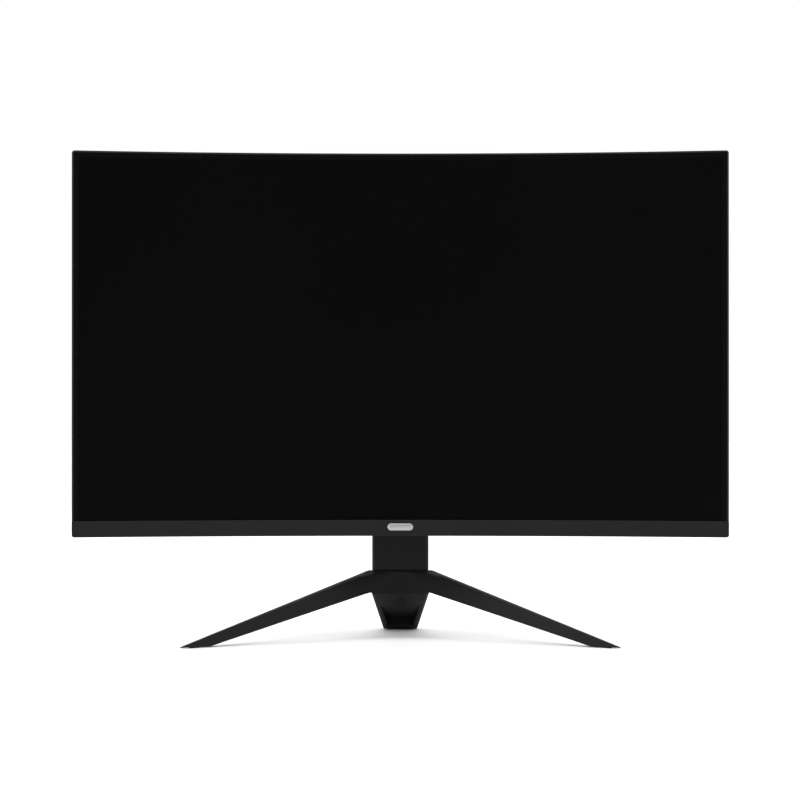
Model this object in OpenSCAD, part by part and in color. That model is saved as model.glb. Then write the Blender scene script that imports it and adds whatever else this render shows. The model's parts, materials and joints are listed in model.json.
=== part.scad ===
// Curved desktop monitor on a tilting three-legged stand.
// Millimetres. +Z is up, the screen faces -Y and +X is to the viewer's right.
// The origin is on the desk, under the centre of the bounding box.

/* [Head] */
// Width of the head, measured straight across its curve
head_w = 607; // [596:1:612]
// Height of the head
head_h = 357.8; // [352:0.2:362]
// Height of the head's bottom edge above the desk
head_z = 97.4; // [96:0.2:104]
// Radius of the screen's curve
curve_r = 1500; // [1400:50:1800]
// Place of the screen's front face at its centre
screen_y = -21; // [-22:0.5:-20]
// Width of the thin lip at the sides and the top
lip_w = 1.6; // [1.2:0.1:2.4]
// Height of the chin strip
chin_h = 15; // [13:0.5:17]
// Wall thickness of the rear cover
cover_wall = 2.4; // [2:0.1:2.6]
// Half width of the rear housing where it leaves the thin back
housing_half_w = 200; // [190:1:210]
// Place of the rear housing's back face
housing_y = 27; // [26:0.5:28]

/* [Fastening to an arm] */
// Height of the hole patterns' centre above the desk
arm_z = 250; // [248:1:252]
// Radius of each threaded hole
arm_hole_r = 2; // [1.9:0.1:2.1]

/* [Stand] */
// Width of the column
column_w = 54; // [50:0.2:54.2]
// Depth of the column
column_d = 26; // [25:0.5:27]
// Place of the tilt pivot and of the column's centre, front to back
pivot_y = 42; // [42:0.5:44]
// Height of the column's lower end, above the dark seam
column_z = 62.7; // [62:0.1:64]
// Height of the hub's top face, below the dark seam
hub_z = 61.3; // [60:0.1:61.5]
// Height of the hub's lower front edge
hub_low_z = 40; // [38:1:42]
// Half the distance between the tips of the front legs
leg_tip_x = 198; // [190:0.5:200]
// Distance of the front leg tips in front of the origin
leg_tip_y = 111; // [108:0.5:114]
// Distance of the rear foot's end behind the origin
rear_end_y = 112; // [110:0.5:114]

/* [Joystick] */
// Place of the menu joystick across the back
joy_x = 236; // [234:1:240]
// Height of the menu joystick above the desk
joy_z = 124; // [122:1:130]
// Radius of the joystick's cap
joy_cap_r = 6; // [5.5:0.1:6.2]

/* [Hidden] */

$fn = 48;
// Facets of a full circle of the screen's radius, fine enough that the arc is true to 0.02 mm
curve_fn = 720;
// Overshoot of a cut past the face that it opens
eps = 0.5;

// Depths behind the screen's front face, along the curve's radius
lip_d = -1;
chin_d = -2.2;
panel_d = 1.8;
sheet_d = [2, 2.8];
guide_d = [3, 6];
reflector_d = [6.1, 6.5];
pan_d = [2.2, 7.5];
pan_wall = 0.8;
frame_d = 9;
back_d = 11.5;

// Screen stack, inside the middle frame
frame_wall = 1.2;
corner_r = 2.5;
fit_gap = 0.2;
skin_gap = 0.1;
head_top = head_z + head_h;
stack_w = head_w - 2 * (frame_wall + fit_gap);
stack_z0 = head_z + 3;
stack_z1 = head_top - frame_wall - fit_gap;
chin_top = head_z + chin_h;

// Badge on the chin
badge_w = 24;
badge_h = 6.6;
badge_t = 0.6;
badge_z = head_z + 8.4;

// Power light, under the chin at the viewer's right
led_x = 272;
led_r = 1.5;
led_h = 1.6;

// Rear housing, at its foot and at its back face: half width, low and high edge,
// and the width and height that its lower and its upper corners are cut back by
housing_foot_y = -32;
housing_foot = [housing_half_w, head_z + 20, head_top - 62, [32, 30], [52, 48]];
housing_back = [housing_half_w - 38, head_z + 50, head_top - 104, [24, 22], [44, 40]];

// Steel plate with two standard square hole patterns: the wide one is left free and
// the narrow one holds the stand
arm_pitch = 100;
stand_pitch = 75;
arm_y = 18;
plate_t = 2;
plate_half = 62;
plate_post_l = 7;

// Recess over the plate, the window in its floor, and the channel that clears the column
recess_half = 63;
window_half = 56;
recess_y = arm_y + cover_wall;
channel_half = 32;
channel_y = 14;

// Vents: slots each side of the middle, their spacing, width and length
vent_count = 9;
vent_pitch = 11;
vent_w = 2.6;
vent_l = 12;

// Bay for the sockets, open to the back and below
bay_x = [48, 148];
bay_y = -2;
bay_z = 168;
socket_y = 9;
hdmi_x = [63, 84];
dp_x = 105;
audio_x = 121;
dc_x = 133;

// Cable-lock slot: x and z of its middle, and its width and height
lock_at = [-140, 200];
lock_w = 7;
lock_h = 3;

// Circuit boards inside the rear housing
board_y = 4;
board_t = 1.6;
main_x = [46, 146];
main_z = [172, 262];
driver_x = [-160, -64];
driver_z = [200, 262];

// Tilt hinge
ear_x = [27.4, 30.4];
ear_r = 11;
ear_root = 26;
ear_join = [5, 9.8];
pin_r = 3.95;
pin_hole_r = 4;
barrel_r = 13;
barrel_half_w = 26.2;
bracket_t = 3;
bracket_half = 44;

// Column
column_wall = 2.2;
column_top = 234;
column_corner = 3.5;
core_half_w = 20;
core_half_d = 7;
core_z = 43;
pass_z = 140;
pass_w = 24;
pass_h = 40;
pass_wall = 2;
column_screw_z = [92, 205];

// Base
hub_half_w = 27.4;
hub_y = [28, 58];
collar_inset = 1.6;
leg_root = [29.6, 36];
leg_root_top = 61.9;
leg_root_low = 45.8;
leg_tip_top = 1.4;
leg_flat = 30;
foot_rise = 0.8;
pad_sink = 1.2;
rear_foot_y = 94;
rear_foot_half_w = 16.5;
base_screw_y = 43;
web_s = 20;
web_x = 8;
web_inset = 0.4;

// Crown of a leg: half width and height at its root, two thirds along and near the tip, and the
// angles at which its curve is taken
crown_root = [5.8, 4.6];
crown_mid = [3.4, 1.8];
crown_tip = [2.2, 0.8];
crown_a = [15 : 25 : 165];

// Scoop in the hub's underside: where it starts down the slope, its length, its depth at the far
// end, and its half width at both ends
slope_angle = atan2(hub_low_z - foot_rise, rear_foot_y - hub_y[0]);
scoop_v = 22;
scoop_l = 47;
scoop_depth = 9;
scoop_half = [19.5, 12.5];
scoop_clear = 0.4;

// Cover screws, each side, near the corners of the rear housing: x and z
cover_screw_at = [[122, 328], [154, 186]];

// Joystick, along Y from its pivot
joy_y = -23;
joy_ring_r = 5.2;
joy_pin_r = 0.7;
joy_play = 0.05;
joy_stem_r = 1.6;
joy_boss_r = [20, 16];
joy_box = 8;

// ---------------------------------------------------------------- helpers

// Outline of a rectangle with round corners, centred, n steps a corner
function round_rect(w, h, r, n = 6) = [
    for (corner = [0 : 3], i = [0 : n])
        let (a = 90 * corner + 90 * i / n,
             sx = (corner == 0 || corner == 3) ? 1 : -1,
             sy = corner < 2 ? 1 : -1)
        [sx * (w / 2 - r) + r * cos(a), sy * (h / 2 - r) + r * sin(a)]
];

// Eight-sided outline of the rear housing, from one of its two descriptions above
function housing_outline(o, inset = 0) =
    let (w = o[0] - inset, z0 = o[1] + inset, z1 = o[2] - inset, low = o[3], high = o[4])
    [[-w + low[0], z0], [w - low[0], z0], [w, z0 + low[1]], [w, z1 - high[1]],
     [w - high[0], z1], [-w + high[0], z1], [-w, z1 - high[1]], [-w, z0 + low[1]]];

// Front-to-back place of the curve at depth d, a distance x from the centre
function curve_y(x, d) = screen_y - curve_r + sqrt(pow(curve_r + d, 2) - x * x);

// 2D shape in X and Z, extruded from y0 to y1
module from_front(y0, y1)
    translate([0, y1, 0]) rotate([90, 0, 0]) linear_extrude(y1 - y0) children();

// 2D shape in Y and Z, extruded from x0 to x1
module from_side(x0, x1)
    translate([x0, 0, 0]) rotate([90, 0, 90]) linear_extrude(x1 - x0) children();

module rod_x(x0, x1, y, z, r)
    translate([x0, y, z]) rotate([0, 90, 0]) cylinder(h = x1 - x0, r = r);

module rod_y(y0, y1, x, z, r, r2 = -1)
    translate([x, y0, z]) rotate([-90, 0, 0])
        cylinder(h = y1 - y0, r1 = r, r2 = r2 < 0 ? r : r2);

module block(x, y, z)
    translate([x[0], y[0], z[0]]) cube([x[1] - x[0], y[1] - y[0], z[1] - z[0]]);

// Slab that follows the curve, between two depths, two heights and a width
module curved_slab(w, z0, z1, d0, d1)
    translate([0, screen_y - curve_r, z0]) linear_extrude(z1 - z0) intersection() {
        difference() {
            circle(r = curve_r + d1, $fn = curve_fn);
            circle(r = curve_r + d0, $fn = curve_fn);
        }
        translate([-w / 2, curve_r - 60]) square([w, 120]);
    }

// Outline of the whole head, as a block from front to back
module head_outline(inset = 0)
    from_front(-90, 40) translate([0, head_z + head_h / 2])
        polygon(round_rect(head_w - 2 * inset, head_h - 2 * inset, corner_r));

// Countersunk or cheese-headed screw along Y, its head at the back
module screw_y(x, y, z, head_r, head_t, shank_r, shank_l) {
    rod_y(y, y + head_t, x, z, head_r);
    rod_y(y - shank_l, y + 0.01, x, z, shank_r);
}

module square_of(pitch)
    for (sx = [-1, 1], sz = [-1, 1])
        translate([sx * pitch / 2, 0, arm_z + sz * pitch / 2]) children();

// ---------------------------------------------------------------- screen stack

module lcd_panel() color([0.03, 0.03, 0.035])
    curved_slab(stack_w, stack_z0, stack_z1, 0, panel_d);

module optical_sheets() color([0.92, 0.93, 0.95])
    curved_slab(stack_w - 4, stack_z0 + 6, stack_z1 - 2, sheet_d[0], sheet_d[1]);

module light_guide() color([0.85, 0.93, 0.96])
    curved_slab(stack_w - 4, stack_z0 + 6, stack_z1 - 2, guide_d[0], guide_d[1]);

module reflector_sheet() color([0.97, 0.97, 0.97])
    curved_slab(stack_w - 4, stack_z0 + 2, stack_z1 - 2, reflector_d[0], reflector_d[1]);

module led_bar() color([0.9, 0.85, 0.5])
    curved_slab(stack_w - 20, stack_z0 + 2.5, stack_z0 + 5.5, guide_d[0], guide_d[1]);

module backlight_pan() color([0.72, 0.74, 0.76]) {
    difference() {
        curved_slab(stack_w, stack_z0, stack_z1, pan_d[0], pan_d[1]);
        curved_slab(stack_w - 2 * pan_wall, stack_z0 + pan_wall, stack_z1 - pan_wall,
                    pan_d[0] - eps, pan_d[1] - pan_wall);
    }
    for (sx = [-1, 1], at = cover_screw_at)
        difference() {
            rod_y(curve_y(at[0], pan_d[1]) - 0.4, -10.2, sx * at[0], at[1], 3.2);
            rod_y(curve_y(at[0], pan_d[1]) + 0.6, 0, sx * at[0], at[1], 1.5);
        }
}

module middle_frame() color([0.1, 0.1, 0.105])
    difference() {
        intersection() {
            curved_slab(head_w, head_z, head_top, lip_d, frame_d - skin_gap);
            head_outline();
        }
        curved_slab(head_w - 2 * lip_w, chin_top - 4, head_top - lip_w, lip_d - eps, 0);
        curved_slab(stack_w + 2 * fit_gap, stack_z0 - fit_gap, stack_z1 + fit_gap, 0, frame_d + eps);
        curved_slab(head_w + 2, head_z - 1, chin_top + fit_gap, lip_d - eps, 0);
        led_post(-1, 4, led_r + 0.02);
    }

module chin_bezel() color([0.13, 0.13, 0.135])
    intersection() {
        curved_slab(head_w, head_z, chin_top, chin_d, -skin_gap);
        head_outline();
    }

// Plain lozenge on the chin
module badge() color([0.78, 0.78, 0.8])
    intersection() {
        curved_slab(badge_w, head_z, chin_top, chin_d - badge_t, chin_d - 0.02);
        from_front(-90, 40) translate([0, badge_z])
            polygon(round_rect(badge_w, badge_h, badge_h / 2 - 0.1));
    }

module led_post(z0, z1, r)
    translate([led_x, curve_y(led_x, 3), head_z + z0]) cylinder(h = z1 - z0, r = r);

module power_led_lens() color([0.9, 0.95, 1])
    led_post(-0.3, led_h, led_r);

// ---------------------------------------------------------------- rear cover

module housing(inset, back_y)
    hull() {
        from_front(housing_foot_y, housing_foot_y + 0.1)
            polygon(housing_outline(housing_foot, inset));
        from_front(back_y - 0.1, back_y)
            polygon(housing_outline(housing_back, inset));
    }

// Space left free for the column, the plate's recess and the socket bay, grown by g
module housing_pockets(g) {
    block([-channel_half - g, channel_half + g], [channel_y - g, 60], [60, arm_z]);
    block([-recess_half - g, recess_half + g], [recess_y - g, 60],
          [arm_z - recess_half - g, arm_z + recess_half + g]);
    block([bay_x[0] - g, bay_x[1] + g], [bay_y - g, 60], [60, bay_z + g]);
}

// Rows of slanted slots through the upper slope of the housing
module vents()
    for (row = [0, 1], i = [-vent_count : vent_count])
        translate([i * vent_pitch, -10, head_top - 88 + row * 17])
            rotate([0, 14, 0]) translate([-vent_w / 2, 0, -vent_l / 2]) cube([vent_w, 50, vent_l]);

module screw_wells(r, y0, y1)
    for (sx = [-1, 1], at = cover_screw_at)
        rod_y(y0, y1, sx * at[0], at[1], r);

// Thin curved back, open where the housing stands, with a boss for the joystick
module rear_panel() color([0.11, 0.11, 0.115])
    difference() {
        union() {
            intersection() {
                curved_slab(head_w, head_z, head_top, frame_d, back_d);
                head_outline();
            }
            difference() {
                rod_y(curve_y(joy_x, back_d) - 4, joy_y + 9, joy_x, joy_z, joy_boss_r[0], joy_boss_r[1]);
                screen_side();
            }
        }
        housing(0, housing_y);
        rod_y(-60, joy_y + 6.5, joy_x, joy_z, joy_boss_r[1] - 2);
        rod_y(-60, joy_y + 12, joy_x, joy_z, joy_cap_r + 3.5);
    }

// Everything in front of the back panel's inner face
module screen_side()
    translate([0, screen_y - curve_r, 0])
        cylinder(h = 600, r = curve_r + frame_d, $fn = curve_fn);

// Raised hollow housing over the boards, with the channel, the recess, the bay and the vents
module rear_housing() color([0.11, 0.11, 0.115])
    difference() {
        housing(0, housing_y);
        screen_side();
        difference() {
            housing(cover_wall, housing_y - cover_wall);
            housing_pockets(cover_wall);
            screw_wells(5, -10, 40);
        }
        housing_pockets(0);
        block([-window_half, window_half], [arm_y - 10, recess_y + eps],
              [arm_z - window_half, arm_z + window_half]);
        block([-plate_half - fit_gap, plate_half + fit_gap], [arm_y - plate_t - fit_gap, arm_y],
              [arm_z - plate_half - fit_gap, arm_z + plate_half + fit_gap]);
        block([bay_x[0] + 6, bay_x[1] - 3], [socket_y - 7, socket_y + 9],
              [bay_z - eps, bay_z + cover_wall + eps]);
        vents();
        screw_wells(3.2, -8, 40);
        screw_wells(1.6, -12, 0);
        block([lock_at[0] - 4.5, lock_at[0] + 4.5], [housing_y - cover_wall - eps, housing_y + eps],
              [lock_at[1] - 2.5, lock_at[1] + 2.5]);
    }

module cover_screws() color([0.35, 0.35, 0.36])
    for (sx = [-1, 1], at = cover_screw_at)
        screw_y(sx * at[0], -8, at[1], 2.8, 2, 1.45, 9);

module vesa_plate() color([0.2, 0.2, 0.21])
    difference() {
        union() {
            from_front(arm_y - plate_t, arm_y) translate([0, arm_z])
                square(2 * plate_half, center = true);
            for (pitch = [arm_pitch, stand_pitch])
                square_of(pitch) rod_y(arm_y - plate_t - plate_post_l, arm_y - 1, 0, 0, 4.2);
        }
        for (pitch = [arm_pitch, stand_pitch])
            square_of(pitch) rod_y(arm_y - plate_t - plate_post_l - 1, arm_y + 1, 0, 0, arm_hole_r);
    }

// ---------------------------------------------------------------- electronics

// Children at the four screw holes of a board
module board_corners(x, z)
    for (px = [x[0] + 5, x[1] - 5], pz = [z[0] + 6, z[1] - 6])
        translate([px, 0, pz]) children();

module board(x, z)
    difference() {
        block(x, [board_y, board_y + board_t], z);
        board_corners(x, z) rod_y(board_y - 1, board_y + 3, 0, 0, 1.6);
    }

module main_board() color([0.05, 0.3, 0.15])
    board(main_x, main_z);

module driver_board() color([0.05, 0.3, 0.15])
    board(driver_x, driver_z);

module board_screws() color([0.75, 0.75, 0.76]) {
    board_corners(main_x, main_z) screw_y(0, board_y + board_t, 0, 2.6, 1.6, 1.5, 6);
    board_corners(driver_x, driver_z) screw_y(0, board_y + board_t, 0, 2.6, 1.6, 1.5, 6);
}

module timing_board() color([0.05, 0.25, 0.3])
    block([-45, 60], [-11.8, -10.6], [138, 162]);

// Flat ribbon from the timing board up to the main board
module panel_ribbon() color([0.85, 0.85, 0.8])
    from_side(49, 59)
        polygon([[-10.6, 150], [-10.2, 150], [-10.2, 164], [3.2, 190], [4, 190], [4, 190.4],
                 [2.9, 190.4], [-10.6, 164.1]]);

module shield_can() color([0.78, 0.79, 0.8])
    difference() {
        block([75, 135], [board_y + board_t, board_y + 12], [196, 250]);
        block([75.6, 134.4], [board_y, board_y + 11.4], [196.6, 249.4]);
        for (i = [0 : 5], j = [0 : 4])
            rod_y(board_y + 10, board_y + 13, 85 + 8 * i, 207 + 8 * j, 1.4);
    }

module port_plate() color([0.6, 0.61, 0.62])
    difference() {
        block([bay_x[0] + 5, bay_x[1] - 1], [-1, 20], [bay_z + cover_wall, bay_z + cover_wall + 1]);
        for (x = hdmi_x)
            block([x - 7.8, x + 7.8], [socket_y - 3.3, socket_y + 3.3], [bay_z, bay_z + 5]);
        block([dp_x - 8.7, dp_x + 8.7], [socket_y - 3.3, socket_y + 3.3], [bay_z, bay_z + 5]);
        translate([audio_x, socket_y, bay_z]) cylinder(h = 5, r = 3.7);
        block([dc_x - 5.2, dc_x + 5.2], [socket_y - 3.4, socket_y + 7], [bay_z, bay_z + 5]);
    }

// Metal shell of a socket, its mouth facing down
module socket_shell(x, w, h, depth, t = 0.5)
    difference() {
        block([x - w / 2 - t, x + w / 2 + t], [socket_y - h / 2 - t, socket_y + h / 2 + t],
              [bay_z + 0.6, bay_z + 0.6 + depth + 1]);
        block([x - w / 2, x + w / 2], [socket_y - h / 2, socket_y + h / 2],
              [bay_z - 1, bay_z + 0.6 + depth]);
    }

module hdmi_ports() color([0.7, 0.71, 0.72])
    for (x = hdmi_x)
        socket_shell(x, 14.4, 5, 11);

module displayport() color([0.7, 0.71, 0.72])
    socket_shell(dp_x, 16.2, 5, 11);

module audio_jack() color([0.08, 0.08, 0.08])
    difference() {
        union() {
            translate([audio_x, socket_y, bay_z + 0.6]) cylinder(h = 4, r = 3.4);
            block([audio_x - 3.6, audio_x + 3.6], [board_y + board_t, socket_y + 3.5],
                  [bay_z + 3.6, bay_z + 16]);
        }
        translate([audio_x, socket_y, bay_z]) cylinder(h = 14, r = 1.8);
    }

module dc_jack() color([0.06, 0.06, 0.06]) {
    difference() {
        block([dc_x - 4.9, dc_x + 4.9], [board_y + board_t + 0.1, socket_y + 6.6],
              [bay_z + 0.6, bay_z + 15]);
        translate([dc_x, socket_y + 1.6, bay_z]) cylinder(h = 11, r = 2.85);
    }
    translate([dc_x, socket_y + 1.6, bay_z + 2]) cylinder(h = 12, r = 1.1);
}

// Steel insert behind the slot for a cable lock
module lock_insert() color([0.7, 0.71, 0.72])
    difference() {
        block([lock_at[0] - 8, lock_at[0] + 8], [housing_y - cover_wall - 2, housing_y - cover_wall],
              [lock_at[1] - 6, lock_at[1] + 6]);
        block([lock_at[0] - lock_w / 2, lock_at[0] + lock_w / 2], [housing_y - 8, housing_y],
              [lock_at[1] - lock_h / 2, lock_at[1] + lock_h / 2]);
    }

// ---------------------------------------------------------------- menu joystick

module joystick_board() color([0.05, 0.3, 0.15])
    block([joy_x - joy_box - 1, joy_x + joy_box + 1], [joy_y - 5.6, joy_y - 4.6],
          [joy_z - joy_box - 1, joy_z + joy_box + 1]);

module joystick_housing() color([0.15, 0.15, 0.155])
    difference() {
        block([joy_x - joy_box, joy_x + joy_box], [joy_y - 4.6, joy_y + 2.6],
              [joy_z - joy_box, joy_z + joy_box]);
        rod_y(joy_y - 3.4, joy_y + 4, joy_x, joy_z, joy_ring_r + 0.8);
        rod_x(joy_x - joy_box - 1, joy_x + joy_box + 1, joy_y, joy_z, joy_pin_r + joy_play);
    }

module gimbal_ring() color([0.75, 0.75, 0.72])
    difference() {
        union() {
            rod_y(joy_y - 1.3, joy_y + 1.3, joy_x, joy_z, joy_ring_r);
            rod_x(joy_x - joy_box + 0.4, joy_x + joy_box - 0.4, joy_y, joy_z, joy_pin_r);
        }
        rod_y(joy_y - 3, joy_y + 3, joy_x, joy_z, joy_ring_r - 1.8);
        translate([joy_x, joy_y, joy_z - 6]) cylinder(h = 12, r = joy_pin_r + joy_play);
    }

module joystick_stem() color([0.2, 0.2, 0.2]) {
    rod_y(joy_y - 1.6, joy_y + 9, joy_x, joy_z, joy_stem_r);
    translate([joy_x, joy_y, joy_z - joy_ring_r + 0.4]) cylinder(h = 2 * joy_ring_r - 0.8, r = joy_pin_r);
}

module joystick_cap() color([0.06, 0.06, 0.065])
    difference() {
        union() {
            rod_y(joy_y + 4.2, joy_y + 10, joy_x, joy_z, 3.4);
            rod_y(joy_y + 9.4, joy_y + 12.6, joy_x, joy_z, joy_cap_r);
            rod_y(joy_y + 12.5, joy_y + 13.6, joy_x, joy_z, joy_cap_r, joy_cap_r - 1.2);
        }
        rod_y(joy_y + 3, joy_y + 9.7, joy_x, joy_z, joy_stem_r + joy_play);
        rod_y(joy_y + 13, joy_y + 14, joy_x, joy_z, 2.4);
    }

// ---------------------------------------------------------------- tilt hinge

module ear_outline()
    difference() {
        union() {
            translate([pivot_y, arm_z]) circle(r = ear_r);
            polygon([[arm_y, arm_z - ear_root], [arm_y + bracket_t, arm_z - ear_root],
                     [pivot_y + ear_join[0], arm_z - ear_join[1]],
                     [pivot_y + ear_join[0], arm_z + ear_join[1]],
                     [arm_y + bracket_t, arm_z + ear_root], [arm_y, arm_z + ear_root]]);
        }
        translate([pivot_y, arm_z]) circle(r = pin_hole_r);
    }

module head_bracket() color([0.12, 0.12, 0.125]) {
    difference() {
        from_front(arm_y, arm_y + bracket_t) translate([0, arm_z])
            polygon(round_rect(2 * bracket_half, 2 * bracket_half, 6));
        square_of(stand_pitch) rod_y(0, 40, 0, 0, 2.2);
    }
    from_side(ear_x[0], ear_x[1]) ear_outline();
    from_side(-ear_x[1], -ear_x[0]) ear_outline();
}

module bracket_screws() color([0.6, 0.6, 0.62])
    square_of(stand_pitch) screw_y(0, arm_y + bracket_t, 0, 3.8, 2.4, 1.95, 10);

module tilt_pin() color([0.7, 0.7, 0.72]) {
    rod_x(-ear_x[1] - 2.6, 36.4, pivot_y, arm_z, pin_r);
    rod_x(-ear_x[1] - 3, -ear_x[1], pivot_y, arm_z, 7);
}

// Ring around the tilt pin
module pin_ring(x0, x1, r)
    difference() {
        rod_x(x0, x1, pivot_y, arm_z, r);
        rod_x(x0 - 1, x1 + 1, pivot_y, arm_z, pin_hole_r);
    }

module friction_washers() color([0.55, 0.45, 0.25]) {
    pin_ring(barrel_half_w + 0.05, ear_x[0], 10);
    pin_ring(-ear_x[0], -barrel_half_w - 0.05, 10);
}

module disc_springs() color([0.5, 0.5, 0.52])
    for (i = [0 : 1])
        pin_ring(ear_x[1] + i, ear_x[1] + i + 0.9, 7.5);

module tilt_nut() color([0.7, 0.7, 0.72])
    difference() {
        translate([ear_x[1] + 1.9, pivot_y, arm_z]) rotate([0, 90, 0]) cylinder(h = 4, r = 7, $fn = 6);
        rod_x(ear_x[1], ear_x[1] + 8, pivot_y, arm_z, pin_hole_r);
    }

module hinge_cap(x0, depth)
    difference() {
        rod_x(x0, x0 + depth, pivot_y, arm_z, ear_r - 0.5);
        rod_x(x0 - eps, x0 + depth - 1.6, pivot_y, arm_z, ear_r - 2.2);
    }

module hinge_caps() color([0.09, 0.09, 0.095]) {
    hinge_cap(ear_x[1], 8.4);
    mirror([1, 0, 0]) hinge_cap(ear_x[1], 5.4);
}

// ---------------------------------------------------------------- column

module pass_outline(grow)
    translate([0, pass_z]) polygon(round_rect(pass_w + 2 * grow, pass_h + 2 * grow, pass_w / 2 + grow, 10));

module column_core() color([0.5, 0.5, 0.51])
    difference() {
        union() {
            block([-core_half_w, core_half_w], [pivot_y - core_half_d, pivot_y + core_half_d],
                  [core_z, arm_z - 4]);
            rod_x(-barrel_half_w, barrel_half_w, pivot_y, arm_z, barrel_r);
        }
        rod_x(-40, 40, pivot_y, arm_z, pin_hole_r);
        from_front(0, 90) pass_outline(pass_wall + 0.2);
        translate([0, base_screw_y, core_z - 1]) cylinder(h = 18, r = 3);
        for (z = column_screw_z)
            rod_y(pivot_y, pivot_y + 8, 0, z, 1.5);
    }

module column_shell(y0, y1)
    intersection() {
        difference() {
            translate([0, pivot_y, column_z]) linear_extrude(column_top - column_z)
                polygon(round_rect(column_w, column_d, column_corner));
            translate([0, pivot_y, column_z + 2]) linear_extrude(column_top - column_z - 4)
                polygon(round_rect(column_w - 2 * column_wall, column_d - 2 * column_wall,
                                   column_corner - column_wall));
            block([-core_half_w - fit_gap, core_half_w + fit_gap],
                  [pivot_y - core_half_d - fit_gap, pivot_y + core_half_d + fit_gap], [0, 400]);
            from_front(0, 90) pass_outline(pass_wall + 0.2);
        }
        block([-60, 60], [y0, y1], [0, 400]);
    }

module column_front_cover() color([0.1, 0.1, 0.105])
    column_shell(0, pivot_y);

module column_rear_cover() color([0.1, 0.1, 0.105])
    difference() {
        union() {
            column_shell(pivot_y, 90);
            for (z = column_screw_z)
                rod_y(pivot_y + core_half_d + 0.01, pivot_y + column_d / 2 - 1, 0, z, 4);
        }
        for (z = column_screw_z) {
            rod_y(pivot_y, 90, 0, z, 1.7);
            rod_y(pivot_y + column_d / 2 - 2, 90, 0, z, 3.2);
        }
    }

// Lining of the cable hole, with a rim at the back
module cable_grommet() color([0.07, 0.07, 0.075])
    difference() {
        union() {
            from_front(pivot_y - column_d / 2, pivot_y + column_d / 2) pass_outline(pass_wall);
            from_front(pivot_y + column_d / 2, pivot_y + column_d / 2 + 1) pass_outline(pass_wall + 2);
        }
        from_front(0, 90) pass_outline(0);
    }

module column_screws() color([0.4, 0.4, 0.42])
    for (z = column_screw_z)
        screw_y(0, pivot_y + column_d / 2 - 2, z, 2.9, 1.8, 1.45, 10);

// ---------------------------------------------------------------- base

// Plan direction of the right front leg, from hub to tip, and across it
leg_tip = [leg_tip_x, -leg_tip_y];
leg_run = leg_tip - leg_root;
leg_len = norm(leg_run);
leg_dir = leg_run / leg_len;
leg_across = [leg_dir[1], -leg_dir[0]];

// Heights of a leg's top and underside a distance s along it, and half its width at the underside
function leg_top(s) = leg_root_top + (leg_tip_top - leg_root_top) * s / leg_len;
function leg_low(s) = leg_root_low + (foot_rise - leg_root_low) * s / (leg_len - leg_flat);
function leg_half(s) = 10 - 5 * s / (leg_len - leg_flat);

// Cross-section of a leg a distance s along it: straight flanks under a rounded crown of half width
// half and height crown
module leg_section(s, half, foot_half, z_top, z_low, crown)
    translate(concat(leg_root + s * leg_dir, 0))
        rotate([0, 0, atan2(leg_dir[1], leg_dir[0])])
            from_side(-0.05, 0.05)
                polygon(concat([[-foot_half, z_low], [foot_half, z_low]],
                               [for (a = crown_a) [half * cos(a), z_top + crown * (sin(a) - 1)]]));

// The crown flattens out towards the tip
module front_leg()
    hull() {
        leg_section(-14, crown_root[0], 10, hub_z - 0.8, leg_root_low, crown_root[1]);
        leg_section(0, crown_root[0], 10, leg_root_top, leg_root_low, crown_root[1]);
        leg_section(leg_len * 0.66, crown_mid[0], leg_half(leg_len * 0.66),
                    leg_top(leg_len * 0.66), leg_low(leg_len * 0.66), crown_mid[1]);
        leg_section(leg_len - leg_flat, crown_tip[0], 5, leg_top(leg_len - leg_flat), foot_rise,
                    crown_tip[1]);
        leg_section(leg_len - 0.05, 0.9, 1.4, leg_tip_top + 0.3, foot_rise, 0.3);
    }

module hub()
    hull() {
        for (z = [hub_low_z, hub_z - 0.1])
            translate([0, (hub_y[0] + hub_y[1]) / 2, z]) linear_extrude(0.1)
                polygon(round_rect(2 * hub_half_w, hub_y[1] - hub_y[0], 4));
        for (z = [foot_rise, 7])
            translate([0, (rear_foot_y + rear_end_y) / 2, z]) linear_extrude(0.1)
                polygon(round_rect(2 * rear_foot_half_w, rear_end_y - rear_foot_y, 4));
    }

// Fairing between the hub's front face and a front leg
module leg_web()
    hull() {
        leg_section(web_s, crown_root[0] - web_inset, leg_half(web_s) - web_inset,
                    leg_top(web_s) - web_inset, leg_low(web_s) + web_inset, crown_root[1]);
        block([web_x, hub_half_w - 4], [hub_y[0] + web_inset, hub_y[0] + 6],
              [hub_low_z + 2 * web_inset, hub_z - 2 * web_inset]);
    }

// Scoop in the hub's sloping underside that deepens towards the foot
module hub_scoop()
    translate([0, hub_y[0], hub_low_z]) rotate([-slope_angle, 0, 0])
        translate([0, scoop_v, -scoop_clear]) rotate([atan2(scoop_depth, scoop_l), 0, 0])
            translate([0, 0, -2 * scoop_depth]) linear_extrude(2 * scoop_depth)
                polygon([[-scoop_half[0], 0], [scoop_half[0], 0],
                         [scoop_half[1], scoop_l], [-scoop_half[1], scoop_l]]);

// Rubber pads, let into the feet: under the leg tips and under the rear foot
module pads(grow, z1) {
    for (side = [0, 1])
        mirror([side, 0, 0])
            translate(concat(leg_root + (leg_len - 15) * leg_dir, 0))
                rotate([0, 0, atan2(leg_dir[1], leg_dir[0])]) linear_extrude(z1)
                    polygon(round_rect(11 + 2 * grow, 4 + 2 * grow, 1.9 + grow));
    translate([0, (rear_foot_y + rear_end_y) / 2, 0]) linear_extrude(z1)
        polygon(round_rect(24 + 2 * grow, 10 + 2 * grow, 3 + grow));
}

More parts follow.
